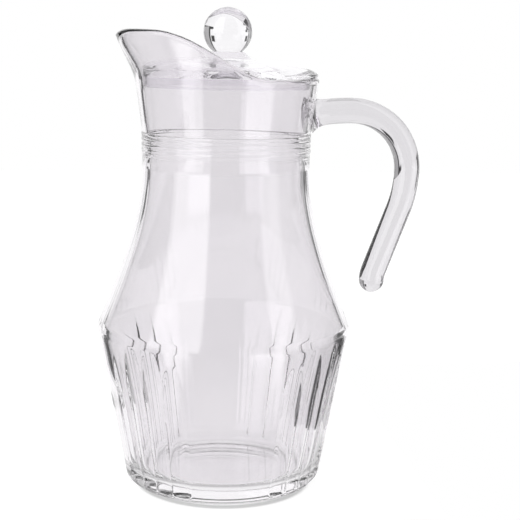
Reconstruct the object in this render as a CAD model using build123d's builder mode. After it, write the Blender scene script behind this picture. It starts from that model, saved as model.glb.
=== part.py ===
from build123d import *
import os
from math import cos, pi, radians, sin, tan

os.makedirs("parts", exist_ok=True)

# Glass pitcher with a lift-off lid. Millimetres, +Z up, origin in the middle of the foot.
# The spout points to -X and the handle to +X.

# Glass vessel, outside
foot_radius = 55.4
heel_fillet = 9.0
belly_radius = 72.2
belly_height = 90.6
belly_fillet = 9.0
shoulder_angle = 22.9
neck_radius = 47.0
neck_height = 180.0
neck_run = 20.0
ledge_height = neck_height + neck_run
rim_radius = 51.4
mouth_depth = 31.0
rim_height = ledge_height + mouth_depth

# Glass vessel, inside and underneath
wall = 4.4
floor_thickness = 8.0
floor_fillet = 12.0
pushup_radius = 42.0
pushup_depth = 1.2
mouth_wall = 3.0
rim_wall = 4.2
lip_wall = 3.0

# Collar rings under the mouth
band_height = 2.2
ring_count = 3
ring_pitch = 3.0
ring_height = 2.4
ring_relief = 0.5

# Spout
spout_reach = 7.5
spout_start_drop = 4.0
spout_rise = 25.0
spout_narrowness = 9
spout_low_end = 20.0
spout_high_end = -44.0
spout_low_pull = 20.0
spout_high_pull = 24.0
lip_start = -53.0
lip_run = 8.2
lip_drop = 4.0
lip_sections = 12
section_points = 24

# Flutes of the lower body: four fans, between plain panels
flute_pitch_angle = 11.0
flute_depth = 1.6
flute_radius = 14.0
flute_arch_height = 40.0
outer_flute_top = 80.5
inner_flute_top = 89.0

# Broad facet under the spout
facet_depth = 3.0
facet_radius = 25.0
facet_top = 53.0
facet_arch_height = 19.0

# Handle
handle_diameter = 14.4
handle_drop = 18.1
handle_reach = 103.7
handle_root_angle = 12.0
handle_arch_radius = 33.0
handle_back_radius = 66.0
handle_tail_angle = 20.5
handle_tail_length = 37.2
handle_curl_radius = 20.0
handle_curl_angle = 18.0
root_flare_radius = 12.0
root_flare_length = 16.0

# Lid
lid_clearance = 0.6
cover_thickness = 2.4
flange_overlap = 3.8
flange_start = 24.0
dome_rise = 6.2
boss_rise = 5.0
boss_radius = 9.5
boss_foot_radius = 20.0
plug_depth = 5.5
skirt_wall = 1.8

# Knob
knob_radius = 13.5
spigot_radius = 4.0
spigot_length = 6.0
spigot_clearance = 0.05
spigot_end_gap = 0.4
seat_margin = 1.4


def wall_slope():
    """Widening of the lower wall for each millimetre of height."""
    return (belly_radius - foot_radius) / belly_height


def vessel_profile(inset, bottom):
    """Half section of the vessel up to the ledge, drawn inset from the outside."""
    bottom_radius = foot_radius + wall_slope() * bottom - inset
    belly = (belly_radius - inset, belly_height)
    neck = (neck_radius - inset, neck_height)
    lean = (belly_radius - neck_radius) / tan(radians(shoulder_angle))
    elbow_height = belly_height + lean
    shoulder_pull = (belly[0] * 0.25 + neck[0] * 0.75, belly_height + lean * 0.75)
    neck_pull = (neck[0], elbow_height + (neck_height - elbow_height) * 0.25)
    Line((0, bottom), (bottom_radius, bottom))
    Line((bottom_radius, bottom), belly)
    Bezier(belly, shoulder_pull, neck_pull, neck)
    Line(neck, (neck[0], ledge_height))
    Line((neck[0], ledge_height), (0, ledge_height))
    Line((0, ledge_height), (0, bottom))


def between(height, low_height, low, high_height, high):
    """Straight-line value at a height between two known heights."""
    return low + (high - low) * (height - low_height) / (high_height - low_height)


def mouth_radius(height):
    """Outside radius of the flared mouth at a height, away from the spout."""
    return between(height, ledge_height, neck_radius, rim_height, rim_radius)


def mouth_thickness(height):
    """Glass thickness of the mouth: it grows up to the rim and thins along the lip."""
    if height < rim_height:
        return between(height, ledge_height, mouth_wall, rim_height, rim_wall)
    return between(height, rim_height, rim_wall, rim_height + spout_rise, lip_wall)


def spout_growth(height):
    """How far the nose of the spout stands out at a height, as a smooth step."""
    share = between(height, rim_height - spout_start_drop, 0.0, rim_height + spout_rise, 1.0)
    share = min(max(share, 0.0), 1.0)
    return spout_reach * share * share * (3 - 2 * share)


def mouth_section(height, inset):
    """Points round the mouth at a height, with the nose of the spout towards -X."""
    points = []
    for step in range(section_points):
        angle = 2 * pi * step / section_points
        nose = ((1 - cos(angle)) / 2) ** spout_narrowness
        reach = mouth_radius(height) - inset + spout_growth(height) * nose
        points.append((reach * cos(angle), reach * sin(angle)))
    return points


def mouth_heights():
    """Heights of the sections from the ledge to above the lip."""
    top = rim_height + spout_rise + lip_wall
    return [ledge_height + (top - ledge_height) * i / (lip_sections - 1) for i in range(lip_sections)]


def groove(azimuth, top, depth, radius, arch_height):
    """Round-nosed cutter along the lower wall that runs out in an arch at its top."""
    run = wall_slope()
    length = (1 + run * run) ** 0.5
    along = (run / length, 1 / length)
    outward = (1 / length, -run / length)
    bend = arch_height**2 / (2 * depth) - radius
    spring = top - arch_height / length
    low = -heel_fillet
    offset = radius - depth
    start = (foot_radius + run * low + outward[0] * offset, low + outward[1] * offset)
    knee = (foot_radius + run * spring + outward[0] * offset, spring + outward[1] * offset)
    turn = 2 * arch_height / (bend + radius)
    plane = Plane((0, 0, 0), x_dir=(cos(azimuth), sin(azimuth), 0), z_dir=(sin(azimuth), -cos(azimuth), 0))
    with BuildPart() as cutter:
        with BuildLine(plane) as path:
            Line(start, knee)
            JernArc(knee, along, bend, -turn * 180 / pi)
        with BuildSketch(Plane(path.line @ 0, z_dir=path.line % 0)):
            Circle(radius)
        sweep()
    return cutter.part


def flute_list():
    """Azimuth and top height of every flute, four flutes to a fan and four fans."""
    flutes = []
    tops = (outer_flute_top, inner_flute_top, inner_flute_top, outer_flute_top)
    for fan in range(4):
        middle = 45 + 90 * fan
        for place, top in enumerate(tops):
            flutes.append((radians(middle + (place - 1.5) * flute_pitch_angle), top))
    return flutes


# Filled outside of the vessel, without flutes: the handle is fitted against it
with BuildPart() as vessel_outside:
    with BuildSketch(Plane.XZ) as half:
        with BuildLine():
            vessel_profile(0, 0)
        make_face()
        fillet(half.vertices().sort_by_distance((foot_radius, 0))[0], heel_fillet)
        fillet(half.vertices().sort_by_distance((belly_radius, belly_height))[0], belly_fillet)
    revolve(axis=Axis.Z)
    with BuildSketch(Plane.XZ):
        with Locations((neck_radius, ledge_height)):
            Rectangle(2 * ring_relief, band_height, align=(Align.CENTER, Align.MAX))
        for ring in range(ring_count):
            with Locations((neck_radius, ledge_height - band_height - ring_pitch * (ring + 0.5))):
                Ellipse(ring_relief, ring_height / 2)
    revolve(axis=Axis.Z)
    for height in mouth_heights():
        with BuildSketch(Plane.XY.offset(height)):
            with BuildLine():
                Spline(*mouth_section(height, 0), periodic=True)
            make_face()
    loft()

# Hollow of the vessel
with BuildPart() as vessel_inside:
    with BuildSketch(Plane.XZ) as half:
        with BuildLine():
            vessel_profile(wall, floor_thickness)
        make_face()
        fillet(half.vertices().sort_by_distance((foot_radius, floor_thickness))[0], floor_fillet)
        fillet(half.vertices().sort_by_distance((belly_radius - wall, belly_height))[0], belly_fillet)
    revolve(axis=Axis.Z)
    for height in mouth_heights():
        with BuildSketch(Plane.XY.offset(height)):
            with BuildLine():
                Spline(*mouth_section(height, mouth_thickness(height)), periodic=True)
            make_face()
    loft()

# Glass vessel: outside less hollow, flutes, push-up and the cut that shapes the rim
with BuildPart() as glass_body:
    add(vessel_outside.part)
    for azimuth, top in flute_list():
        add(groove(azimuth, top, flute_depth, flute_radius, flute_arch_height), mode=Mode.SUBTRACT)
    add(groove(pi, facet_top, facet_depth, facet_radius, facet_arch_height), mode=Mode.SUBTRACT)
    add(vessel_inside.part, mode=Mode.SUBTRACT)
    with BuildSketch(Plane.XZ):
        with BuildLine():
            ThreePointArc((-pushup_radius, 0), (0, pushup_depth), (pushup_radius, 0))
            Line((pushup_radius, 0), (-pushup_radius, 0))
        make_face()
        split(bisect_by=Plane.YZ)
    revolve(axis=Axis.Z, mode=Mode.SUBTRACT)
    reach = mouth_radius(rim_height + spout_rise) + 2 * spout_reach
    lip_height = rim_height + spout_rise
    nose_height = lip_height - lip_drop
    lip_end = lip_start - lip_run
    above = lip_height + spout_rise
    with BuildSketch(Plane.XZ):
        with BuildLine():
            Line((spout_high_end, lip_height), (lip_start, lip_height))
            Bezier(
                (lip_start, lip_height),
                (lip_start - lip_run * 0.55, lip_height),
                (lip_end, nose_height + lip_drop * 0.55),
                (lip_end, nose_height),
            )
            Polyline((lip_end, nose_height), (-reach, nose_height), (-reach, above), (reach, above))
            Polyline((reach, above), (reach, rim_height), (spout_low_end, rim_height))
            Bezier(
                (spout_low_end, rim_height),
                (spout_low_end - spout_low_pull, rim_height),
                (spout_high_end + spout_high_pull, lip_height),
                (spout_high_end, lip_height),
            )
        make_face()
    extrude(amount=reach, both=True, mode=Mode.SUBTRACT)

# Handle: a bent rod with a flared root cut to the outside of the vessel
arch_start = handle_reach - handle_arch_radius
arch_height = rim_height - handle_drop
root_start = neck_radius - mouth_wall / 2
root_bend_radius = (arch_start - root_start) / sin(radians(handle_root_angle))
root_height = arch_height - root_bend_radius * (1 - cos(radians(handle_root_angle)))
root_way = (cos(radians(handle_root_angle)), sin(radians(handle_root_angle)))
flare_angle = radians(handle_root_angle) - root_flare_length / root_bend_radius / 2
flare_way = (cos(flare_angle), 0, sin(flare_angle))
rod_radius = handle_diameter / 2
flare_end = rod_radius * 0.95
with BuildPart() as handle:
    with BuildLine(Plane.XZ) as route:
        root = JernArc((root_start, root_height), root_way, root_bend_radius, -handle_root_angle)
        arch = JernArc(root @ 1, root % 1, handle_arch_radius, -90)
        back = JernArc(arch @ 1, arch % 1, handle_back_radius, -handle_tail_angle)
        tail = Line(back @ 1, back @ 1 + (back % 1) * handle_tail_length)
        JernArc(tail @ 1, tail % 1, handle_curl_radius, handle_curl_angle)
    with BuildSketch(Plane(route.line @ 0, z_dir=route.line % 0)):
        Circle(rod_radius)
    sweep()
    with Locations(route.line @ 1):
        Sphere(rod_radius)
    flare_start = (root_start, 0, root_height)
    with BuildSketch(Plane(flare_start, x_dir=flare_way, z_dir=(0, -1, 0))):
        with BuildLine():
            Bezier(
                (0, root_flare_radius),
                (root_flare_length * 0.25, rod_radius),
                (root_flare_length * 0.55, rod_radius),
                (root_flare_length, flare_end),
            )
            Polyline((root_flare_length, flare_end), (root_flare_length, 0), (0, 0), (0, root_flare_radius))
        make_face()
    revolve(axis=Axis(flare_start, flare_way))
    add(vessel_outside.part, mode=Mode.SUBTRACT)

# Lid cover: dome, flange, short plug skirt, boss with a blind hole for the knob
mouth_low = neck_radius - mouth_wall - lid_clearance
mouth_high = rim_radius - rim_wall - lid_clearance
plug_bottom = rim_height - plug_depth
skirt_foot = between(plug_bottom, ledge_height, mouth_low, rim_height, mouth_high)
flange_radius = mouth_high + flange_overlap
flange_top = rim_height + cover_thickness
dome_top = flange_top + dome_rise
boss_top = dome_top + boss_rise
with BuildPart() as lid_cover:
    with BuildSketch(Plane.XZ):
        with BuildLine():
            boss_sweep = boss_foot_radius - boss_radius
            dome_sweep = flange_radius - boss_foot_radius
            Bezier(
                (boss_radius, boss_top),
                (boss_radius + boss_sweep * 0.2, boss_top - boss_rise * 0.5),
                (boss_radius + boss_sweep * 0.4, dome_top),
                (boss_foot_radius, dome_top),
            )
            Bezier(
                (boss_foot_radius, dome_top),
                (boss_foot_radius + dome_sweep * 0.55, dome_top),
                (boss_foot_radius + dome_sweep * 0.87, flange_top + dome_rise * 0.45),
                (flange_radius, flange_top),
            )
            Polyline(
                (flange_radius, flange_top),
                (flange_radius, rim_height),
                (mouth_high, rim_height),
                (skirt_foot, plug_bottom),
                (skirt_foot - skirt_wall, plug_bottom),
                (mouth_high - skirt_wall, rim_height),
                (0, dome_top - cover_thickness),
                (0, boss_top),
                (boss_radius, boss_top),
            )
        make_face()
    revolve(axis=Axis.Z)
    with BuildSketch(Plane.XY.offset(plug_bottom)):
        Circle(2 * flange_radius)
        Circle(mouth_high, mode=Mode.SUBTRACT)
        with Locations((flange_start, 0)):
            Rectangle(
                4 * flange_radius, 4 * flange_radius, align=(Align.MIN, Align.CENTER), mode=Mode.SUBTRACT
            )
    extrude(amount=boss_top - plug_bottom, mode=Mode.SUBTRACT)
    with BuildSketch(Plane.XY.offset(boss_top)):
        Circle(spigot_radius + spigot_clearance)
    extrude(amount=-(spigot_length + spigot_end_gap), mode=Mode.SUBTRACT)

# Knob: a ball cut flat where it stands on the boss, with a spigot in the boss hole
with BuildPart() as lid_knob:
    seat_radius = boss_radius - seat_margin
    ball_height = boss_top + (knob_radius**2 - seat_radius**2) ** 0.5
    with Locations((0, 0, ball_height)):
        Sphere(knob_radius)
    split(bisect_by=Plane.XY.offset(boss_top))
    with BuildSketch(Plane.XY.offset(boss_top)):
        Circle(spigot_radius)
    extrude(amount=-spigot_length)

for piece, name in (
    (glass_body, "glass_body"),
    (handle, "handle"),
    (lid_cover, "lid_cover"),
    (lid_knob, "lid_knob"),
):
    piece.part.label = name
    export_step(piece.part, f"parts/{name}.step")
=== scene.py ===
"""Glass pitcher with a lift-off lid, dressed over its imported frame."""

import logging
import math
from collections.abc import Callable
from dataclasses import dataclass, field
from enum import Enum

import bpy
from mathutils import Matrix, Vector, kdtree


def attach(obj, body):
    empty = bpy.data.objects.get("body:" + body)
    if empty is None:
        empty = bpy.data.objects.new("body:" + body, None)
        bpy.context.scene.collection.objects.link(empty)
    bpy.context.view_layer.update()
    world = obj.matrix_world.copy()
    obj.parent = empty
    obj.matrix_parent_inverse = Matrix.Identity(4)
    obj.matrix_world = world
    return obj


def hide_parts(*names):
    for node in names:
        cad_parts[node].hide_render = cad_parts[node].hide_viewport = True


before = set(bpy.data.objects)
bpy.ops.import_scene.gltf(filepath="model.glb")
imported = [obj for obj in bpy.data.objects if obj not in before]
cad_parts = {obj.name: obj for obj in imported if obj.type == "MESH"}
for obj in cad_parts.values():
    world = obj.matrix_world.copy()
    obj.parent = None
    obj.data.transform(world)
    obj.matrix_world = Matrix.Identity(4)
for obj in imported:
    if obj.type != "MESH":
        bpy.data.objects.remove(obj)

LOG = logging.getLogger("pitcher")
MM = 0.001
CREASE_DEGREES = 40.0
HALVINGS = 40
BACKDROP = 1.01
WHITE = (1.0, 1.0, 1.0, 1.0)

Point = tuple[float, float]
Corners = tuple[Point, Point]
Curve = tuple[Point, Point, Point, Point]
Socket = bpy.types.NodeSocket
Tree = bpy.types.NodeTree
Piece = bpy.types.Object


class Zone(Enum):
    """Stretch of a half section, which decides how its rings are shaped."""

    PLAIN = "plain"
    LOWER_WALL = "lower wall"
    MOUTH_OUTSIDE = "mouth outside"
    RIM = "rim"
    MOUTH_INSIDE = "mouth inside"
    FLANGE = "flange"


@dataclass(frozen=True)
class Station:
    """One point of a half section, in millimetres.

    Args:
        radius: Distance from the axis before shaping.
        height: Height above the table before shaping.
        zone: Stretch that the point belongs to.
        share: How far along its stretch the point lies, from 0 to 1.
    """

    radius: float
    height: float
    zone: Zone = Zone.PLAIN
    share: float = 0.0


def between(value: float, low: float, at_low: float, high: float, at_high: float) -> float:
    """Straight-line value between two known points."""
    return at_low + (at_high - at_low) * (value - low) / (high - low)


def smooth_step(value: float) -> float:
    """Ease from 0 to 1, held at both ends."""
    share = min(max(value, 0.0), 1.0)
    return share * share * (3.0 - 2.0 * share)


def bezier(a: Point, b: Point, c: Point, d: Point, share: float) -> Point:
    """Point of a cubic curve at a share of its run."""
    rest = 1.0 - share
    weights = (rest**3, 3 * rest * rest * share, 3 * rest * share * share, share**3)
    corners = (a, b, c, d)
    x = sum(w * p[0] for w, p in zip(weights, corners))
    z = sum(w * p[1] for w, p in zip(weights, corners))
    return x, z


def height_on_curve(curve: Curve, across: float) -> float:
    """Height of a cubic curve at a place across.

    Args:
        curve: Corners of a curve that runs one way across, from its first point to its last.
        across: Place across. Past an end of the curve, the end counts.

    Returns:
        The height there.
    """
    rightwards = curve[0][0] < curve[-1][0]
    low, high = 0.0, 1.0
    for _ in range(HALVINGS):
        middle = (low + high) / 2
        if (bezier(*curve, middle)[0] < across) == rightwards:
            low = middle
        else:
            high = middle
    return bezier(*curve, low)[1]


def rounded_corner(before: Point, corner: Point, after: Point, radius: float, count: int) -> list[Point]:
    """Points of a rounding in a corner between two straight runs.

    Args:
        before: A point on the run that comes in.
        corner: The corner.
        after: A point on the run that goes out.
        radius: Radius of the rounding.
        count: Number of points, both ends included.

    Returns:
        The points, from the run that comes in to the one that goes out.
    """
    way_in = (Vector(corner) - Vector(before)).normalized()
    way_out = (Vector(after) - Vector(corner)).normalized()
    turn = way_in.angle_signed(way_out)
    reach = radius * math.tan(abs(turn) / 2)
    start = Vector(corner) - way_in * reach
    side = 1.0 if turn < 0 else -1.0
    left = Vector((-way_in.y, way_in.x)) * side
    middle = start + left * radius
    arm = start - middle
    points = []
    for i in range(count):
        angle = side * abs(turn) * i / (count - 1)
        turned = Vector((
            arm.x * math.cos(angle) - arm.y * math.sin(angle),
            arm.x * math.sin(angle) + arm.y * math.cos(angle),
        ))
        points.append(tuple(middle + turned))
    return points


def linear(code: str) -> tuple[float, float, float, float]:
    """Turn an sRGB hex colour into linear red, green, blue and alpha."""
    channels = []
    for i in (1, 3, 5):
        value = int(code[i:i + 2], 16) / 255
        channels.append(value / 12.92 if value <= 0.04045 else ((value + 0.055) / 1.055) ** 2.4)
    return channels[0], channels[1], channels[2], 1.0


def add_node(tree: Tree, kind: str, settings: dict | None = None, **inputs) -> bpy.types.Node:
    """Add a node with its settings, values and links.

    Args:
        tree: Node tree that gets the node.
        kind: Blender's name of the node type.
        settings: Properties of the node itself.
        inputs: Socket names, with underscores for spaces, or sN for the socket of that number. A value is
            set on the socket, and an output socket is linked to it.

    Returns:
        The new node.
    """
    node = tree.nodes.new(kind)
    for name, value in (settings or {}).items():
        setattr(node, name, value)
    for name, value in inputs.items():
        by_number = name[0] == "s" and name[1:].isdigit()
        socket = node.inputs[int(name[1:])] if by_number else node.inputs[name.replace("_", " ")]
        if isinstance(value, Socket):
            tree.links.new(value, socket)
        else:
            socket.default_value = value
    return node


def calculate(tree: Tree, operation: str, *values: Socket | float) -> Socket:
    """Output of a new math node that works on values and output sockets."""
    inputs = {f"s{i}": value for i, value in enumerate(values)}
    return add_node(tree, "ShaderNodeMath", {"operation": operation}, **inputs).outputs[0]


def start_piece(name: str) -> Piece:
    """Name the object that a primitive has just added and open it for editing."""
    piece = bpy.context.object
    piece.name = name
    piece.data.name = name
    bpy.ops.object.mode_set(mode="EDIT")
    return piece


def close_piece(piece: Piece, merge: float = 1e-6) -> None:
    """Merge doubles, point the faces outwards, leave edit mode and put the place into the mesh."""
    bpy.ops.mesh.select_all(action="SELECT")
    bpy.ops.mesh.remove_doubles(threshold=merge)
    bpy.ops.mesh.normals_make_consistent(inside=False)
    bpy.ops.object.mode_set(mode="OBJECT")
    bpy.ops.object.transform_apply(location=True, rotation=True, scale=True)
    piece.select_set(False)


def spin_section(name: str, stations: list[Station], steps: int) -> Piece:
    """Draw a half section as a line of extruded points and turn it round the upright axis.

    Args:
        name: Name of the new piece.
        stations: Points of the half section, from axis to axis.
        steps: Number of steps of the full turn.

    Returns:
        A closed mesh object at the origin.
    """
    bpy.ops.object.select_all(action="DESELECT")
    bpy.ops.mesh.primitive_circle_add(vertices=3, radius=MM, location=(0, 0, 0))
    piece = start_piece(name)
    bpy.ops.mesh.select_all(action="SELECT")
    bpy.ops.mesh.merge(type="CENTER")
    bpy.ops.object.mode_set(mode="OBJECT")
    first = stations[0]
    piece.data.vertices[0].co = (first.radius * MM, 0, first.height * MM)
    bpy.ops.object.mode_set(mode="EDIT")
    bpy.ops.mesh.select_all(action="SELECT")
    for here, there in zip(stations, stations[1:]):
        step = ((there.radius - here.radius) * MM, 0, (there.height - here.height) * MM)
        bpy.ops.mesh.extrude_vertices_move(TRANSFORM_OT_translate={"value": step})
    bpy.ops.object.mode_set(mode="OBJECT")
    turn = piece.modifiers.new("turn", "SCREW")
    turn.angle = math.tau
    turn.steps = steps
    turn.render_steps = steps
    bpy.ops.object.modifier_apply(modifier=turn.name)
    bpy.ops.object.mode_set(mode="EDIT")
    close_piece(piece)
    return piece


def find_stations(piece: Piece, stations: list[Station]) -> list[Station]:
    """Station that each point of a spun piece was made from, in the order of the points."""
    finder = kdtree.KDTree(len(stations))
    for i, station in enumerate(stations):
        finder.insert((station.radius * MM, 0, station.height * MM), i)
    finder.balance()
    found = []
    for vertex in piece.data.vertices:
        around = math.hypot(vertex.co.x, vertex.co.y)
        _, index, _ = finder.find((around, 0, vertex.co.z))
        found.append(stations[index])
    return found


def refine_rings(piece: Piece, stations: list[Station], zone: Zone) -> None:
    """Halve the steps of the rings of one zone, for fine creases.

    Args:
        piece: A piece made by spin_section.
        stations: The stations that it was spun from.
        zone: Zone whose rings get a point in the middle of each step.
    """
    found = find_stations(piece, stations)
    mesh = piece.data
    for vertex in mesh.vertices:
        vertex.select = False
    for face in mesh.polygons:
        face.select = False
    for edge in mesh.edges:
        first, last = edge.vertices
        edge.select = found[first] is found[last] and found[first].zone is zone
    bpy.context.view_layer.objects.active = piece
    bpy.context.tool_settings.mesh_select_mode = (False, True, False)
    bpy.ops.object.mode_set(mode="EDIT")
    bpy.ops.mesh.subdivide(number_cuts=1)
    bpy.ops.object.mode_set(mode="OBJECT")
    bpy.context.tool_settings.mesh_select_mode = (True, False, False)


def shape_rings(piece: Piece, stations: list[Station], shaper: Callable[[Station, float], Point]) -> None:
    """Move every point of a spun piece to where its station lies at its own azimuth.

    Args:
        piece: A piece made by spin_section.
        stations: The stations that it was spun from.
        shaper: Gives radius and height, in millimetres, for a station and an azimuth.
    """
    for vertex, station in zip(piece.data.vertices, find_stations(piece, stations)):
        if station.zone is Zone.PLAIN:
            continue
        azimuth = math.atan2(vertex.co.y, vertex.co.x)
        radius, height = shaper(station, azimuth)
        vertex.co = (
            radius * MM * math.cos(azimuth),
            radius * MM * math.sin(azimuth),
            height * MM,
        )
    piece.data.update()


@dataclass(frozen=True)
class ClearFinish:
    """A clear, solid, see-through material.

    Args:
        name: Name of the real material.
        tint: sRGB hex colour that light takes on in passing.
        cloudy_tint: sRGB hex colour of its slightly denser streaks.
        ior: Refractive index.
        least_roughness: Roughness of the clean surface.
        most_roughness: Roughness where it has been handled.
        wave_mm: Length of the slow waves that the mould or the flame leaves.
        wave_height_mm: Height of those waves.
        ripple_mm: Length of the fine ripples.
        ripple_height_mm: Height of those ripples.
    """

    name: str
    tint: str
    cloudy_tint: str
    ior: float
    least_roughness: float
    most_roughness: float
    wave_mm: float
    wave_height_mm: float
    ripple_mm: float
    ripple_height_mm: float

    def make(self) -> bpy.types.Material:
        """Build the material with its nodes."""
        material = bpy.data.materials.new(self.name)
        material.use_nodes = True
        tree = material.node_tree
        tree.nodes.clear()
        place = add_node(tree, "ShaderNodeTexCoord").outputs["Object"]
        waves = add_node(
            tree, "ShaderNodeTexNoise", Vector=place, Scale=1 / (self.wave_mm * MM), Detail=1.0,
            Roughness=0.4,
        )
        ripples = add_node(
            tree, "ShaderNodeTexNoise", Vector=place, Scale=1 / (self.ripple_mm * MM), Detail=2.0
        )
        streaks = add_node(
            tree, "ShaderNodeMix", {"data_type": "RGBA"}, Factor=waves.outputs["Fac"],
            s6=linear(self.tint), s7=linear(self.cloudy_tint),
        )
        wear = add_node(
            tree, "ShaderNodeMapRange", Value=ripples.outputs["Fac"], From_Min=0.4, From_Max=0.8,
            To_Min=self.least_roughness, To_Max=self.most_roughness,
        )
        slow = add_node(
            tree, "ShaderNodeBump", Strength=1.0, Distance=self.wave_height_mm * MM,
            Height=waves.outputs["Fac"],
        )
        fine = add_node(
            tree, "ShaderNodeBump", Strength=1.0, Distance=self.ripple_height_mm * MM,
            Height=ripples.outputs["Fac"], Normal=slow.outputs["Normal"],
        )
        surface = add_node(
            tree, "ShaderNodeBsdfPrincipled", Base_Color=streaks.outputs[2], Roughness=wear.outputs[0],
            IOR=self.ior, Transmission_Weight=1.0, Normal=fine.outputs["Normal"],
        )
        add_node(tree, "ShaderNodeOutputMaterial", Surface=surface.outputs["BSDF"])
        return material


# Pressed soda-lime glass, fire polished: near colourless, mirror bright, with slow waves from the mould
# that bend the bright panels it mirrors.
PRESSED_GLASS = ClearFinish(
    name="Pressed soda-lime glass", tint="#f4f2f4", cloudy_tint="#f0eef1", ior=1.52,
    least_roughness=0.0, most_roughness=0.012, wave_mm=26.0, wave_height_mm=0.05,
    ripple_mm=5.0, ripple_height_mm=0.0015,
)

# The same glass drawn as a hot rod and laid on: smoother, with shorter and lower waves, and a deeper tint
# because light passes through more of it.
DRAWN_GLASS = ClearFinish(
    name="Drawn soda-lime glass rod", tint="#e3e1e4", cloudy_tint="#dfdde0", ior=1.52,
    least_roughness=0.0, most_roughness=0.01, wave_mm=18.0, wave_height_mm=0.03,
    ripple_mm=6.0, ripple_height_mm=0.001,
)

# Injection moulded styrene-acrylonitrile: clear, almost colourless, with a softer polish than glass.
# Its index is set below the real 1.57, so that the thin cover bends the view and mirrors the room as
# weakly as in the photo.
MOULDED_PLASTIC = ClearFinish(
    name="Clear moulded styrene-acrylonitrile", tint="#faf9fb", cloudy_tint="#f8f7f9", ior=1.2,
    least_roughness=0.004, most_roughness=0.03, wave_mm=22.0, wave_height_mm=0.03,
    ripple_mm=4.0, ripple_height_mm=0.002,
)

# Solid cast acrylic ball: water clear, polished, works as a strong lens.
CAST_ACRYLIC = ClearFinish(
    name="Solid clear acrylic", tint="#f8f7f9", cloudy_tint="#f5f4f6", ior=1.49,
    least_roughness=0.0, most_roughness=0.012, wave_mm=9.0, wave_height_mm=0.02,
    ripple_mm=3.0, ripple_height_mm=0.001,
)


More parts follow.
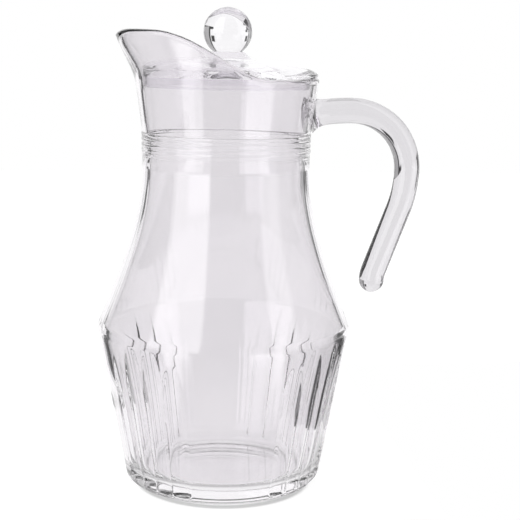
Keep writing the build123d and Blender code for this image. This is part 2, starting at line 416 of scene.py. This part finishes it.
@dataclass
class Vessel:
    """Pressed glass vessel, sizes in millimetres and degrees.

    Fields that end in _rows or _points count rings. The pulls, shoulder_start and belly_heading are shares
    of a run. Fields that end in _steps are pairs that round an edge: back or out, and down or up.
    """

    foot_radius: float = 55.4
    heel_rounding: float = 9.0
    belly_radius: float = 72.2
    belly_height: float = 90.6
    belly_rounding: float = 9.0
    belly_heading: float = 0.05
    shoulder_angle: float = 22.9
    shoulder_pull: float = 0.75
    shoulder_start: float = 0.06
    neck_pull: float = 0.25
    neck_radius: float = 47.0
    neck_height: float = 180.0
    ledge_height: float = 200.0
    ledge_steps: tuple[Point, ...] = ((0.35, 0.1), (0.75, 0.25), (1.1, 0.6), (1.4, 1.4))
    rim_radius: float = 51.4
    rim_height: float = 231.0
    wall: float = 4.4
    floor: float = 8.0
    floor_rounding: float = 12.0
    pushup_radius: float = 42.0
    pushup_depth: float = 1.2
    mouth_wall: float = 3.0
    rim_wall: float = 4.2
    lip_wall: float = 3.0
    band_height: float = 2.2
    band_foot_steps: tuple[Point, ...] = ((0.0, 0.1), (0.3, 0.12), (0.4, 0.45))
    band_top_steps: tuple[Point, ...] = ((0.0, 0.3), (0.12, 0.12), (0.3, 0.02))
    ring_count: int = 3
    ring_pitch: float = 3.0
    ring_height: float = 2.4
    ring_relief: float = 0.4
    spout_reach: float = 7.5
    spout_start_drop: float = 4.0
    spout_rise: float = 25.0
    spout_narrowness: int = 9
    rim_curve: Curve = ((20.0, 231.0), (0.0, 231.0), (-20.0, 256.0), (-44.0, 256.0))
    rim_passes: int = 12
    lip_start: float = -53.0
    lip_run: float = 8.2
    lip_drop: float = 4.0
    flute_pitch: float = 11.0
    flute_depth: float = 1.6
    flute_radius: float = 14.0
    flute_arch: float = 40.0
    flute_fullness: float = 3.0
    outer_flute_top: float = 80.5
    inner_flute_top: float = 89.0
    facet_depth: float = 3.0
    facet_radius: float = 25.0
    facet_top: float = 53.0
    facet_arch: float = 19.0
    steps: int = 360
    foot_rows: int = 8
    corner_points: int = 9
    wall_rows: int = 42
    shoulder_rows: int = 20
    ring_rows: int = 6
    mouth_rows: int = 18
    rim_rows: int = 10
    inner_mouth_rows: int = 14
    inner_shoulder_rows: int = 16
    inner_wall_rows: int = 9
    floor_points: int = 11
    floor_rows: int = 6
    rim_heights: dict[float, float] = field(default_factory=dict)

    @property
    def slope(self) -> float:
        """Widening of the lower wall for each millimetre of height."""
        return (self.belly_radius - self.foot_radius) / self.belly_height

    def wall_radius(self, height: float) -> float:
        """Outside radius of the lower wall at a height, without flutes."""
        return self.foot_radius + self.slope * height

    def shoulder(self, inset: float, share: float) -> Point:
        """Point of the shoulder at a share of its run from belly to neck, at an inset into the glass."""
        belly = (self.belly_radius - inset, self.belly_height)
        neck = (self.neck_radius - inset, self.neck_height)
        lean = (self.belly_radius - self.neck_radius) / math.tan(math.radians(self.shoulder_angle))
        elbow = self.belly_height + lean
        pull = self.shoulder_pull
        lower = (belly[0] * (1 - pull) + neck[0] * pull, self.belly_height + lean * pull)
        upper = (neck[0], elbow + (self.neck_height - elbow) * self.neck_pull)
        return bezier(belly, lower, upper, neck, share)

    def mouth_radius(self, height: float) -> float:
        """Outside radius of the flared mouth at a height, away from the spout."""
        return between(height, self.ledge_height, self.neck_radius, self.rim_height, self.rim_radius)

    def mouth_thickness(self, height: float) -> float:
        """Glass thickness of the mouth: it grows up to the rim and thins along the lip."""
        if height < self.rim_height:
            return between(height, self.ledge_height, self.mouth_wall, self.rim_height, self.rim_wall)
        lip = self.rim_height + self.spout_rise
        return between(height, self.rim_height, self.rim_wall, lip, self.lip_wall)

    def nose(self, height: float, azimuth: float) -> float:
        """How far the spout stands out of the round mouth."""
        start = self.rim_height - self.spout_start_drop
        share = between(height, start, 0.0, self.rim_height + self.spout_rise, 1.0)
        narrow = ((1 - math.cos(azimuth)) / 2) ** self.spout_narrowness
        return self.spout_reach * smooth_step(share) * narrow

    def outside(self, height: float, azimuth: float) -> float:
        """Outside radius of the mouth with its spout."""
        return self.mouth_radius(height) + self.nose(height, azimuth)

    def rim_line(self, across: float) -> float:
        """Height of the rim above a place on the line from spout to handle."""
        across_end, top = self.rim_curve[-1]
        if across <= across_end:
            past = min(max((self.lip_start - across) / self.lip_run, 0.0), 1.0)
            return top - self.lip_drop * (1 - math.sqrt(1 - past * past))
        return height_on_curve(self.rim_curve, across)

    def rim_at(self, azimuth: float) -> float:
        """Height of the rim at an azimuth, kept for reuse."""
        key = round(math.degrees(azimuth), 3)
        if key not in self.rim_heights:
            height = self.rim_height
            for _ in range(self.rim_passes):
                reach = self.outside(height, azimuth) - self.mouth_thickness(height) / 2
                height = self.rim_line(reach * math.cos(azimuth))
            self.rim_heights[key] = height
        return self.rim_heights[key]

    def flute_cut(self, azimuth: float, height: float) -> float:
        """Depth that the flutes and the facet take from the lower wall, measured level."""
        stretch = math.hypot(1.0, self.slope)
        radius = self.wall_radius(height)
        deepest = 0.0
        quarter = math.pi / 2
        fan = math.floor((azimuth % math.tau) / quarter)
        middle = (fan + 0.5) * quarter
        tops = (self.outer_flute_top, self.inner_flute_top, self.inner_flute_top, self.outer_flute_top)
        grooves = [(math.pi, self.facet_top, self.facet_depth, self.facet_radius, self.facet_arch)]
        for i, top in enumerate(tops):
            place = middle + math.radians((i - (len(tops) - 1) / 2) * self.flute_pitch)
            grooves.append((place, top, self.flute_depth, self.flute_radius, self.flute_arch))
        for place, top, depth, nose, arch in grooves:
            aside = math.remainder(azimuth - place, math.tau)
            if abs(aside) > quarter / 2:
                continue
            offset = radius * math.sin(aside)
            past = (height - top) * stretch + arch
            spring = max(past, 0.0) / arch
            edge = math.sqrt(2 * nose * depth)
            cut = depth * (1 - spring * spring - (abs(offset) / edge) ** self.flute_fullness)
            deepest = max(deepest, cut)
        return deepest * stretch

    def stations(self) -> list[Station]:
        """Half section of the vessel, from the middle of the underside to the middle of the floor."""
        line: list[Station] = []
        for i in range(self.foot_rows + 1):
            share = i / self.foot_rows
            line.append(Station(self.pushup_radius * share, self.pushup_depth * (1 - share**2)))
        foot = (self.foot_radius, 0.0)
        top = (self.belly_radius, self.belly_height)
        heading = self.shoulder(0.0, self.belly_heading)
        heel = rounded_corner((0.0, 0.0), foot, top, self.heel_rounding, self.corner_points)
        belly = rounded_corner(foot, top, heading, self.belly_rounding, self.corner_points)
        line.append(Station((self.pushup_radius + heel[0][0]) / 2, 0.0))
        line += [Station(*p, Zone.LOWER_WALL) for p in heel]
        for i in range(1, self.wall_rows):
            height = between(i, 0, heel[-1][1], self.wall_rows, belly[0][1])
            line.append(Station(self.wall_radius(height), height, Zone.LOWER_WALL))
        line += [Station(*p, Zone.LOWER_WALL) for p in belly]
        line += self.shoulder_line(0.0, self.shoulder_rows)
        line += self.collar()
        line += self.mouth()
        line += self.hollow()
        return line

    def shoulder_line(self, inset: float, rows: int) -> list[Station]:
        """Rings of the shoulder from belly to neck, at an inset into the glass."""
        run = 1.0 - self.shoulder_start
        shares = [self.shoulder_start + run * i / rows for i in range(rows + 1)]
        return [Station(*self.shoulder(inset, share)) for share in shares]

    def collar(self) -> list[Station]:
        """Fine rings and the band under the mouth."""
        line = []
        band_foot = self.ledge_height - self.band_height
        for ring in reversed(range(self.ring_count)):
            middle = band_foot - self.ring_pitch * (ring + 0.5)
            for i in range(self.ring_rows + 1):
                angle = math.pi * (i / self.ring_rows - 0.5)
                line.append(Station(
                    self.neck_radius + self.ring_relief * math.cos(angle) ** 2,
                    middle + self.ring_height / 2 * math.sin(angle),
                ))
        edge = self.neck_radius + self.ring_relief
        line += [Station(self.neck_radius + out, band_foot + up) for out, up in self.band_foot_steps]
        line += [Station(edge - back, self.ledge_height - down) for back, down in self.band_top_steps]
        return line

    def mouth(self) -> list[Station]:
        """Outside of the mouth, its rounded rim and its inside, all before the spout is drawn out."""
        line = []
        half = self.rim_wall / 2
        top = self.rim_height - half
        rows = self.mouth_rows
        for i in range(1, rows + 1):
            height = between(i, 0, self.ledge_height, rows, top)
            line.append(Station(self.mouth_radius(height), height, Zone.MOUTH_OUTSIDE, i / rows))
        rows = self.rim_rows
        for i in range(1, rows):
            angle = math.pi * i / rows
            radius = self.rim_radius - half + half * math.cos(angle)
            line.append(Station(radius, top + half * math.sin(angle), Zone.RIM, i / rows))
        rows = self.inner_mouth_rows
        for i in range(rows, -1, -1):
            height = between(i, 0, self.ledge_height, rows, top)
            radius = self.mouth_radius(height) - self.mouth_thickness(height)
            line.append(Station(radius, height, Zone.MOUTH_INSIDE, i / rows))
        return line

    def hollow(self) -> list[Station]:
        """Inside of neck, shoulder and lower wall, down to the middle of the floor."""
        ledge = self.neck_radius - self.mouth_wall
        line = [Station(ledge - back, self.ledge_height - down) for back, down in self.ledge_steps]
        line.append(Station(self.neck_radius - self.wall, (self.ledge_height + self.neck_height) / 2))
        line += self.shoulder_line(self.wall, self.inner_shoulder_rows)[::-1]
        heading = self.shoulder(self.wall, self.belly_heading)
        top = (self.belly_radius - self.wall, self.belly_height)
        low = (self.wall_radius(self.floor) - self.wall, self.floor)
        belly = rounded_corner(heading, top, low, self.belly_rounding, self.corner_points)
        floor = rounded_corner(top, low, (0.0, self.floor), self.floor_rounding, self.floor_points)
        line += [Station(*p) for p in belly]
        start, end = belly[-1], floor[0]
        rows = self.inner_wall_rows
        for i in range(1, rows):
            radius = between(i, 0, start[0], rows, end[0])
            line.append(Station(radius, between(i, 0, start[1], rows, end[1])))
        line += [Station(*p) for p in floor]
        reach = floor[-1][0]
        rows = self.floor_rows
        line += [Station(reach * (1 - i / rows), self.floor) for i in range(1, rows + 1)]
        return line

    def shape(self, station: Station, azimuth: float) -> Point:
        """Radius and height of a station at an azimuth."""
        if station.zone is Zone.LOWER_WALL:
            cut_to = self.wall_radius(station.height) - self.flute_cut(azimuth, station.height)
            return min(station.radius, cut_to), station.height
        rim = self.rim_at(azimuth)
        half = self.mouth_thickness(rim) / 2
        if station.zone is Zone.RIM:
            angle = math.pi * station.share
            height = rim - half * (1 - math.sin(angle))
            middle = self.outside(height, azimuth) - self.mouth_thickness(height) / 2
            return middle + half * math.cos(angle), height
        height = self.ledge_height + (rim - half - self.ledge_height) * station.share
        radius = self.outside(height, azimuth)
        if station.zone is Zone.MOUTH_INSIDE:
            radius -= self.mouth_thickness(height)
        return radius, height

    def build(self) -> Piece:
        """Spin the section, then press the flutes and draw out the spout."""
        stations = self.stations()
        piece = spin_section("glass_vessel", stations, self.steps)
        refine_rings(piece, stations, Zone.LOWER_WALL)
        shape_rings(piece, stations, self.shape)
        return piece

    def dress(self, piece: Piece) -> None:
        """Give the vessel its glass and its place in the frame."""
        finish_piece(piece, PRESSED_GLASS, "pitcher", "glass_body")


@dataclass
class Handle:
    """Open-ended glass rod, sizes in millimetres and degrees, flare_pulls in shares of the flare."""

    rod_radius: float = 7.2
    height: float = 212.9
    root_start: float = 45.5
    root_angle: float = 12.0
    flare_radius: float = 12.0
    flare_length: float = 16.0
    flare_pulls: Point = (0.25, 0.55)
    arch_start: float = 70.7
    arch_radius: float = 33.0
    back_radius: float = 66.0
    tail_angle: float = 20.5
    tail_length: float = 37.2
    curl_radius: float = 20.0
    curl_angle: float = 18.0
    sunk: float = 1.3
    sides: int = 64
    root_rows: int = 26
    arch_rows: int = 40
    back_rows: int = 16
    tail_rows: int = 6
    curl_rows: int = 10
    end_rows: int = 16

    def flare(self, along: float) -> float:
        """Radius of the rod at a length along its root."""
        reach = self.flare_length
        first, second = self.flare_pulls
        curve = (
            (0.0, self.flare_radius),
            (reach * first, self.rod_radius),
            (reach * second, self.rod_radius),
            (reach, self.rod_radius),
        )
        return height_on_curve(curve, along)

    def bend(self, middle: Vector, hub: Vector, turn: float, steps: int) -> Vector:
        """Spin the open end about a hub in the plane of the handle.

        Args:
            middle: Middle of the end before the bend, in millimetres.
            hub: Centre of the bend.
            turn: Angle in radians, positive from +X towards -Z.
            steps: Number of steps of the bend.

        Returns:
            The middle of the end after the bend.
        """
        bpy.ops.mesh.spin(steps=steps, angle=-turn, center=hub * MM, axis=(0, 1, 0))
        return hub + Matrix.Rotation(turn, 3, "Y") @ (middle - hub)

    def draw(self, middle: Vector, step: Vector) -> Vector:
        """Extrude the open end by a step in millimetres and give its new middle."""
        bpy.ops.mesh.extrude_region_move(TRANSFORM_OT_translate={"value": step * MM})
        return middle + step

    def scale(self, middle: Vector, share: float) -> None:
        """Scale the open end about its middle."""
        bpy.ops.transform.resize(value=(share, share, share), center_override=middle * MM)

    def build(self) -> Piece:
        """Extrude a disc out of the neck, spin it round the bends and round its end."""
        bpy.ops.object.select_all(action="DESELECT")
        lean = math.radians(self.root_angle)
        root_radius = (self.arch_start - self.root_start) / math.sin(lean)
        hub = Vector((self.arch_start, 0, self.height - root_radius))
        start = lean - self.sunk / root_radius
        middle = hub + Vector((-math.sin(start), 0, math.cos(start))) * root_radius
        width = self.flare(self.sunk)
        bpy.ops.mesh.primitive_circle_add(
            vertices=self.sides, radius=width * MM, fill_type="NGON", location=middle * MM,
            rotation=(0, math.pi / 2 - start, 0),
        )
        bpy.ops.object.transform_apply(location=True, rotation=True, scale=True)
        piece = start_piece("glass_handle")
        bpy.ops.mesh.select_all(action="SELECT")
        for i in range(1, self.root_rows + 1):
            middle = self.bend(middle, hub, start / self.root_rows, 1)
            after = self.flare(self.sunk + start * root_radius * i / self.root_rows)
            self.scale(middle, after / width)
            width = after
        hub = middle - Vector((0, 0, self.arch_radius))
        middle = self.bend(middle, hub, math.pi / 2, self.arch_rows)
        hub = middle - Vector((self.back_radius, 0, 0))
        tail = math.radians(self.tail_angle)
        middle = self.bend(middle, hub, tail, self.back_rows)
        heading = Vector((-math.sin(tail), 0, -math.cos(tail)))
        for _ in range(self.tail_rows):
            middle = self.draw(middle, heading * (self.tail_length / self.tail_rows))
        hub = middle + Vector((math.cos(tail), 0, -math.sin(tail))) * self.curl_radius
        curl = math.radians(self.curl_angle)
        middle = self.bend(middle, hub, -curl, self.curl_rows)
        heading = Vector((-math.sin(tail - curl), 0, -math.cos(tail - curl)))
        for i in range(1, self.end_rows):
            low = math.pi / 2 * (i - 1) / self.end_rows
            high = math.pi / 2 * i / self.end_rows
            middle = self.draw(middle, heading * (self.rod_radius * (math.sin(high) - math.sin(low))))
            self.scale(middle, math.cos(high) / math.cos(low))
        close_piece(piece)
        return piece

    def dress(self, piece: Piece) -> None:
        """Give the handle its glass and its place in the frame."""
        finish_piece(piece, DRAWN_GLASS, "pitcher", "handle")


@dataclass
class LidCover:
    """Moulded lid with a short plug and a flange away from the spout, in millimetres and degrees.

    Pulls, lifts, bevel_share and the flange's root, flat and bevel are shares.
    """

    rim_height: float = 231.0
    seat_gap: float = 0.1
    plug_radius: float = 46.6
    plug_depth: float = 5.5
    mouth_widening: float = 3.2
    mouth_height: float = 31.0
    skirt_wall: float = 1.8
    cover: float = 2.4
    flange_overlap: float = 3.8
    flange_angle: float = 61.6
    flange_fade: float = 2.0
    flange_root: float = 0.05
    flange_flat: float = 0.85
    flange_bevel: float = 0.95
    dome_rise: float = 6.2
    dome_pulls: Point = (0.55, 0.87)
    dome_lift: float = 0.45
    boss_rise: float = 5.0
    boss_radius: float = 9.5
    boss_foot: float = 20.0
    boss_pulls: Point = (0.2, 0.4)
    boss_lift: float = 0.5
    boss_edge_steps: tuple[Point, ...] = ((0.1, 0.2), (0.6, 0.0))
    edge_rounding: float = 0.6
    bevel_share: float = 0.3
    steps: int = 360
    under_rows: int = 10
    skirt_rows: int = 5
    dome_rows: int = 20
    boss_rows: int = 16
    top_rows: int = 4

    @property
    def dome_top(self) -> float:
        """Height of the dome at the foot of the boss."""
        return self.rim_height + self.cover + self.dome_rise

    @property
    def plug_slope(self) -> float:
        """Widening of the plug for each millimetre of height, the same as that of the mouth."""
        return self.mouth_widening / self.mouth_height

    def edge_at(self, azimuth: float) -> float:
        """How far the flange reaches past the plug at an azimuth."""
        share = smooth_step((self.flange_angle - math.degrees(abs(azimuth))) / self.flange_fade)
        return self.flange_overlap * share

    def skirt(self) -> list[Station]:
        """Inside of the plug skirt, down to its rounded foot, and its outside, up to the rim."""
        line = []
        plug_foot = self.rim_height - self.plug_depth
        soft = self.edge_rounding
        rows = self.skirt_rows
        foot = self.plug_radius - self.plug_slope * self.plug_depth
        for radius, corner in ((foot - self.skirt_wall, 1.0), (foot, -1.0)):
            heights = [self.rim_height - (self.plug_depth - soft) * i / rows for i in range(rows + 1)]
            stretch = [(radius + self.plug_slope * (height - plug_foot), height) for height in heights]
            for i in range(1, rows + 1):
                angle = math.pi / 2 * i / rows
                inwards = corner * soft * (1 - math.cos(angle))
                stretch.append((radius + inwards, plug_foot + soft * (1 - math.sin(angle))))
            line += [Station(*point) for point in (stretch if corner > 0 else stretch[::-1])]
        return line

    def flange_and_dome(self) -> list[Station]:
        """Edge of the flange and the dome over it, in to the foot of the boss."""
        soft = self.edge_rounding
        bevel = soft * self.bevel_share
        low = self.rim_height + self.seat_gap
        high = self.rim_height + self.cover
        edge = (
            (self.flange_root, low),
            (self.flange_flat, low),
            (self.flange_bevel, low + bevel),
            (1.0, low + soft),
            (1.0, high - soft),
            (self.flange_bevel, high - bevel),
        )
        line = []
        for share, height in edge:
            line.append(Station(self.plug_radius + self.flange_overlap * share, height, Zone.FLANGE, share))
        reach = self.plug_radius + self.flange_overlap
        sweep = reach - self.boss_foot
        first, second = self.dome_pulls
        dome = (
            (self.boss_foot, self.dome_top),
            (self.boss_foot + sweep * first, self.dome_top),
            (self.boss_foot + sweep * second, high + self.dome_rise * self.dome_lift),
            (reach - soft, high),
        )
        for i in range(self.dome_rows, 0, -1):
            across, height = bezier(*dome, i / self.dome_rows)
            past = max(across - self.plug_radius, 0.0) / self.flange_overlap
            line.append(Station(across, height, Zone.FLANGE if past else Zone.PLAIN, past))
        return line

    def boss(self) -> list[Station]:
        """Hollow flank, rounded edge and flat top of the boss."""
        top = self.dome_top + self.boss_rise
        spread = self.boss_foot - self.boss_radius
        first, second = self.boss_pulls
        flank = (
            (self.boss_radius, top),
            (self.boss_radius + spread * first, self.dome_top + self.boss_rise * self.boss_lift),
            (self.boss_radius + spread * second, self.dome_top),
            (self.boss_foot, self.dome_top),
        )
        line = [Station(*bezier(*flank, i / self.boss_rows)) for i in range(self.boss_rows, 0, -1)]
        line += [Station(self.boss_radius - back, top - down) for back, down in self.boss_edge_steps]
        flat = line[-1].radius
        line += [Station(flat * (1 - i / self.top_rows), top) for i in range(1, self.top_rows + 1)]
        return line

    def stations(self) -> list[Station]:
        """Half section of the lid, from the middle of its underside to the middle of the boss."""
        under = self.dome_top - self.cover
        inner = self.plug_radius - self.skirt_wall
        rows = self.under_rows
        line = [Station(inner * i / rows, between(i, 0, under, rows, self.rim_height)) for i in range(rows)]
        return line + self.skirt() + self.flange_and_dome() + self.boss()

    def shape(self, station: Station, azimuth: float) -> Point:
        """Radius and height of a station at an azimuth."""
        if station.zone is Zone.FLANGE:
            return self.plug_radius + self.edge_at(azimuth) * station.share, station.height
        return station.radius, station.height

    def build(self) -> Piece:
        """Spin the section, then cut back the flange."""
        stations = self.stations()
        piece = spin_section("lid_dome", stations, self.steps)
        shape_rings(piece, stations, self.shape)
        return piece

    def dress(self, piece: Piece) -> None:
        """Give the lid its plastic and its place in the frame."""
        finish_piece(piece, MOULDED_PLASTIC, "lid", "lid_cover")


@dataclass
class Knob:
    """Solid ball on the boss of the lid, sizes in millimetres."""

    radius: float = 13.5
    seat_radius: float = 8.1
    seat_height: float = 244.6
    sunk: float = 0.4
    steps: int = 160
    seat_rows: int = 4
    ball_rows: int = 70

    def build(self) -> Piece:
        """Spin a ball that is cut flat at its seat."""
        middle = self.seat_height + math.sqrt(self.radius**2 - self.seat_radius**2)
        start = math.asin((self.seat_height - middle) / self.radius)
        foot = self.seat_height - self.sunk
        line = [Station(self.seat_radius * i / self.seat_rows, foot) for i in range(self.seat_rows + 1)]
        rows = self.ball_rows
        for i in range(rows + 1):
            angle = start + (math.pi / 2 - start) * i / rows
            radius = self.radius * math.cos(angle) if i < rows else 0.0
            line.append(Station(radius, middle + self.radius * math.sin(angle)))
        return spin_section("lid_ball", line, self.steps)

    def dress(self, piece: Piece) -> None:
        """Give the ball its acrylic and its place in the frame."""
        finish_piece(piece, CAST_ACRYLIC, "lid", "lid_knob")


def finish_piece(piece: Piece, finish: ClearFinish, body: str, node: str) -> None:
    """Shade a piece smooth, give it its material and hang it on the frame.

    Args:
        piece: The finished mesh object.
        finish: Material that it is made of.
        body: Body that it moves with.
        node: Node that it stands for.
    """
    bpy.ops.object.select_all(action="DESELECT")
    piece.select_set(True)
    bpy.context.view_layer.objects.active = piece
    bpy.ops.object.shade_smooth_by_angle(angle=math.radians(CREASE_DEGREES))
    piece.select_set(False)
    material = finish.make()
    piece.data.materials.clear()
    piece.data.materials.append(material)
    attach(piece, body)
    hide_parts(node)
    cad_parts[node].data.materials.clear()
    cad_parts[node].data.materials.append(material)


@dataclass(frozen=True)
class Panel:
    """A bright or dark panel of the studio, as seen from the object, in degrees.

    Args:
        azimuth: Middle of the panel, from the camera's side towards the right.
        half_width: Half of its width.
        low: Lower edge above the horizon.
        high: Upper edge above the horizon.
        level: Brightness that it adds to the room. A dark panel takes the backdrop's away.
        soft: Width of its soft edge.
    """

    azimuth: float
    half_width: float
    low: float
    high: float
    level: float
    soft: float = 2.0


@dataclass
class Studio:
    """White table and backdrop, bright panels left and right, dark room behind the camera.

    Narrow dark panels at the sides of the backdrop give the glass its black lines. The panels and the
    camera's angles are in degrees, the table and the painted shadow under the foot in metres, the camera's
    place in millimetres.
    """

    room: float = 0.06
    panels: tuple[Panel, ...] = (
        Panel(azimuth=180, half_width=39, low=-40, high=62, level=BACKDROP),
        Panel(azimuth=145, half_width=4, low=-30, high=-4, level=-BACKDROP),
        Panel(azimuth=147, half_width=4, low=7, high=18, level=-BACKDROP),
        Panel(azimuth=-145, half_width=4, low=-30, high=-4, level=-BACKDROP),
        Panel(azimuth=-147, half_width=4, low=7, high=18, level=-BACKDROP),
        Panel(azimuth=-152.5, half_width=3.5, low=-24, high=-12, level=-BACKDROP),
        Panel(azimuth=-148.5, half_width=3.5, low=-4, high=0, level=-BACKDROP),
        Panel(azimuth=-53, half_width=26, low=-10, high=68, level=2.1, soft=5),
        Panel(azimuth=-107.5, half_width=30, low=-40, high=62, level=0.45),
        Panel(azimuth=-51, half_width=14, low=-34, high=-12, level=2.0, soft=5),
        Panel(azimuth=57, half_width=14, low=-10, high=68, level=1.3, soft=5),
        Panel(azimuth=103, half_width=33, low=-10, high=62, level=0.45),
        Panel(azimuth=38, half_width=18, low=-34, high=-12, level=1.5, soft=6),
        Panel(azimuth=0, half_width=200, low=-120, high=-37, level=0.8, soft=6),
        Panel(azimuth=0, half_width=200, low=68, high=120, level=0.6, soft=16),
    )
    table_near: Corners = ((-0.15, -0.078), (0.115, 0.25))
    table_far: Corners = ((-0.28, 0.25), (1.0, 1.6))
    # Painted shadow under the foot: inner and outer radius of the ring, its soft edge, how much glow it
    # takes away, and its shift towards the camera, in metres.
    shade_ring_inside: float = 0.044
    shade_ring_outside: float = 0.0495
    shade_ring_soft: float = 0.003
    painted_shade_strength: float = 0.4
    painted_shade_shift: float = 0.0065
    floor_colour: str = "#8c8c8c"
    floor_lift: float = 0.90
    glass_share: float = 0.967
    camera_distance: float = 731.0
    camera_height: float = 258.0
    camera_azimuth: float = 5.5
    pitch: float = 10.1
    yaw: float = 1.577
    roll: float = 1.1
    lens: float = 90.35
    sensor: float = 36.0
    clip_start: float = 0.01
    clear_bounces: int = 32
    mirror_bounces: int = 16

    def window(self, tree: Tree, value: Socket, low: float, high: float, soft: float) -> Socket:
        """Socket that is 1 where a value lies between two limits, with soft edges."""
        sides = []
        for limit, before, after in ((low, 0.0, 1.0), (high, 1.0, 0.0)):
            side = add_node(
                tree, "ShaderNodeMapRange", {"interpolation_type": "SMOOTHSTEP"}, Value=value,
                From_Min=limit - soft / 2, From_Max=limit + soft / 2, To_Min=before, To_Max=after,
            )
            sides.append(side.outputs[0])
        return calculate(tree, "MULTIPLY", *sides)

    def light(self) -> None:
        """Paint the studio round the object on the world, plain white where the camera sees it."""
        world = bpy.data.worlds.new("Studio")
        bpy.context.scene.world = world
        world.use_nodes = True
        tree = world.node_tree
        tree.nodes.clear()
        way = add_node(tree, "ShaderNodeTexCoord").outputs["Generated"]
        parts = add_node(tree, "ShaderNodeSeparateXYZ", Vector=way).outputs
        towards = calculate(tree, "MULTIPLY", parts["Y"], -1.0)
        around = calculate(tree, "ARCTAN2", parts["X"], towards)
        up = calculate(tree, "ARCSINE", parts["Z"])
        total: Socket | float = self.room
        for panel in self.panels:
            aside = calculate(tree, "SUBTRACT", around, math.radians(panel.azimuth))
            wrapped = calculate(tree, "WRAP", aside, math.pi, -math.pi)
            half = math.radians(panel.half_width)
            soft = math.radians(panel.soft)
            across = self.window(tree, wrapped, -half, half, soft)
            tall = self.window(tree, up, math.radians(panel.low), math.radians(panel.high), soft)
            shape = calculate(tree, "MULTIPLY", across, tall)
            total = calculate(tree, "MULTIPLY_ADD", shape, panel.level, total)
        seen = add_node(tree, "ShaderNodeLightPath").outputs["Is Camera Ray"]
        level = add_node(tree, "ShaderNodeMix", {"data_type": "FLOAT"}, Factor=seen, s2=total, s3=1.0)
        shine = add_node(tree, "ShaderNodeBackground", Color=WHITE, Strength=level.outputs[0])
        add_node(tree, "ShaderNodeOutputWorld", Surface=shine.outputs["Background"])

    def table_paint(self) -> bpy.types.Material:
        """Matt white that reads as white, with the shade under the foot painted on."""
        material = bpy.data.materials.new("Matt white table")
        material.use_nodes = True
        tree = material.node_tree
        tree.nodes.clear()
        path = add_node(tree, "ShaderNodeLightPath").outputs
        either = calculate(tree, "MAXIMUM", path["Is Glossy Ray"], path["Is Transmission Ray"])
        dimmed = calculate(tree, "MULTIPLY", either, self.glass_share)
        shown = calculate(tree, "MAXIMUM", path["Is Camera Ray"], dimmed)
        # Painted shadow: the table glows less in a ring round the foot, whose centre is moved towards the
        # camera.
        place = add_node(tree, "ShaderNodeTexCoord").outputs["Object"]
        shift = (0.0, self.painted_shade_shift, 0.0)
        shifted = add_node(tree, "ShaderNodeVectorMath", {"operation": "ADD"}, s0=place, s1=shift)
        away = add_node(
            tree, "ShaderNodeVectorMath", {"operation": "LENGTH"}, s0=shifted.outputs["Vector"]
        ).outputs["Value"]
        under = self.window(tree, away, self.shade_ring_inside, self.shade_ring_outside, self.shade_ring_soft)
        level = calculate(tree, "MULTIPLY_ADD", under, -self.painted_shade_strength, self.floor_lift)
        lift = calculate(tree, "MULTIPLY", shown, level)
        matt = add_node(tree, "ShaderNodeBsdfDiffuse", Color=linear(self.floor_colour))
        glow = add_node(tree, "ShaderNodeEmission", Color=WHITE, Strength=lift)
        both = add_node(tree, "ShaderNodeAddShader", s0=matt.outputs[0], s1=glow.outputs[0])
        add_node(tree, "ShaderNodeOutputMaterial", Surface=both.outputs[0])
        return material

    def floor(self) -> None:
        """Lay the table: narrow beside the pitcher, wide behind it."""
        paint = self.table_paint()
        for name, (low, high) in (("table", self.table_near), ("table_far", self.table_far)):
            bpy.ops.object.select_all(action="DESELECT")
            middle = ((low[0] + high[0]) / 2, (low[1] + high[1]) / 2, 0)
            bpy.ops.mesh.primitive_plane_add(size=1.0, location=middle)
            table = bpy.context.object
            table.name = name
            table.scale = (high[0] - low[0], high[1] - low[1], 1)
            bpy.ops.object.transform_apply(location=True, rotation=True, scale=True)
            table.data.materials.append(paint)

    def camera(self) -> None:
        """Stand the camera where the photograph was taken from."""
        lens = bpy.data.cameras.new("camera")
        lens.sensor_width = self.sensor
        lens.lens = self.lens
        lens.clip_start = self.clip_start
        eye = bpy.data.objects.new("camera", lens)
        bpy.context.scene.collection.objects.link(eye)
        aside = math.radians(self.camera_azimuth)
        place = Vector((-math.sin(aside), -math.cos(aside), 0)) * self.camera_distance
        place.z = self.camera_height
        upright = Matrix.Rotation(-aside - math.radians(self.yaw), 4, "Z")
        tilt = Matrix.Rotation(math.radians(90 - self.pitch), 4, "X")
        lean = Matrix.Rotation(math.radians(self.roll), 4, "Z")
        eye.matrix_world = Matrix.Translation(place * MM) @ upright @ tilt @ lean
        bpy.context.scene.camera = eye

    def build(self) -> None:
        """Set the light, the table and the camera."""
        scene = bpy.context.scene
        scene.view_settings.view_transform = "Standard"
        scene.cycles.max_bounces = self.clear_bounces
        scene.cycles.transmission_bounces = self.clear_bounces
        scene.cycles.glossy_bounces = self.mirror_bounces
        self.light()
        self.floor()
        self.camera()


def main() -> None:
    """Build and dress every piece, set the studio and log each piece's face count."""
    logging.basicConfig(level=logging.INFO, format="%(message)s")
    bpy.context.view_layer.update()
    for part in (Vessel(), Handle(), LidCover(), Knob()):
        piece = part.build()
        part.dress(piece)
        LOG.info("%s: %d faces", piece.name, len(piece.data.polygons))
    Studio().build()


if __name__ == "__main__":
    main()
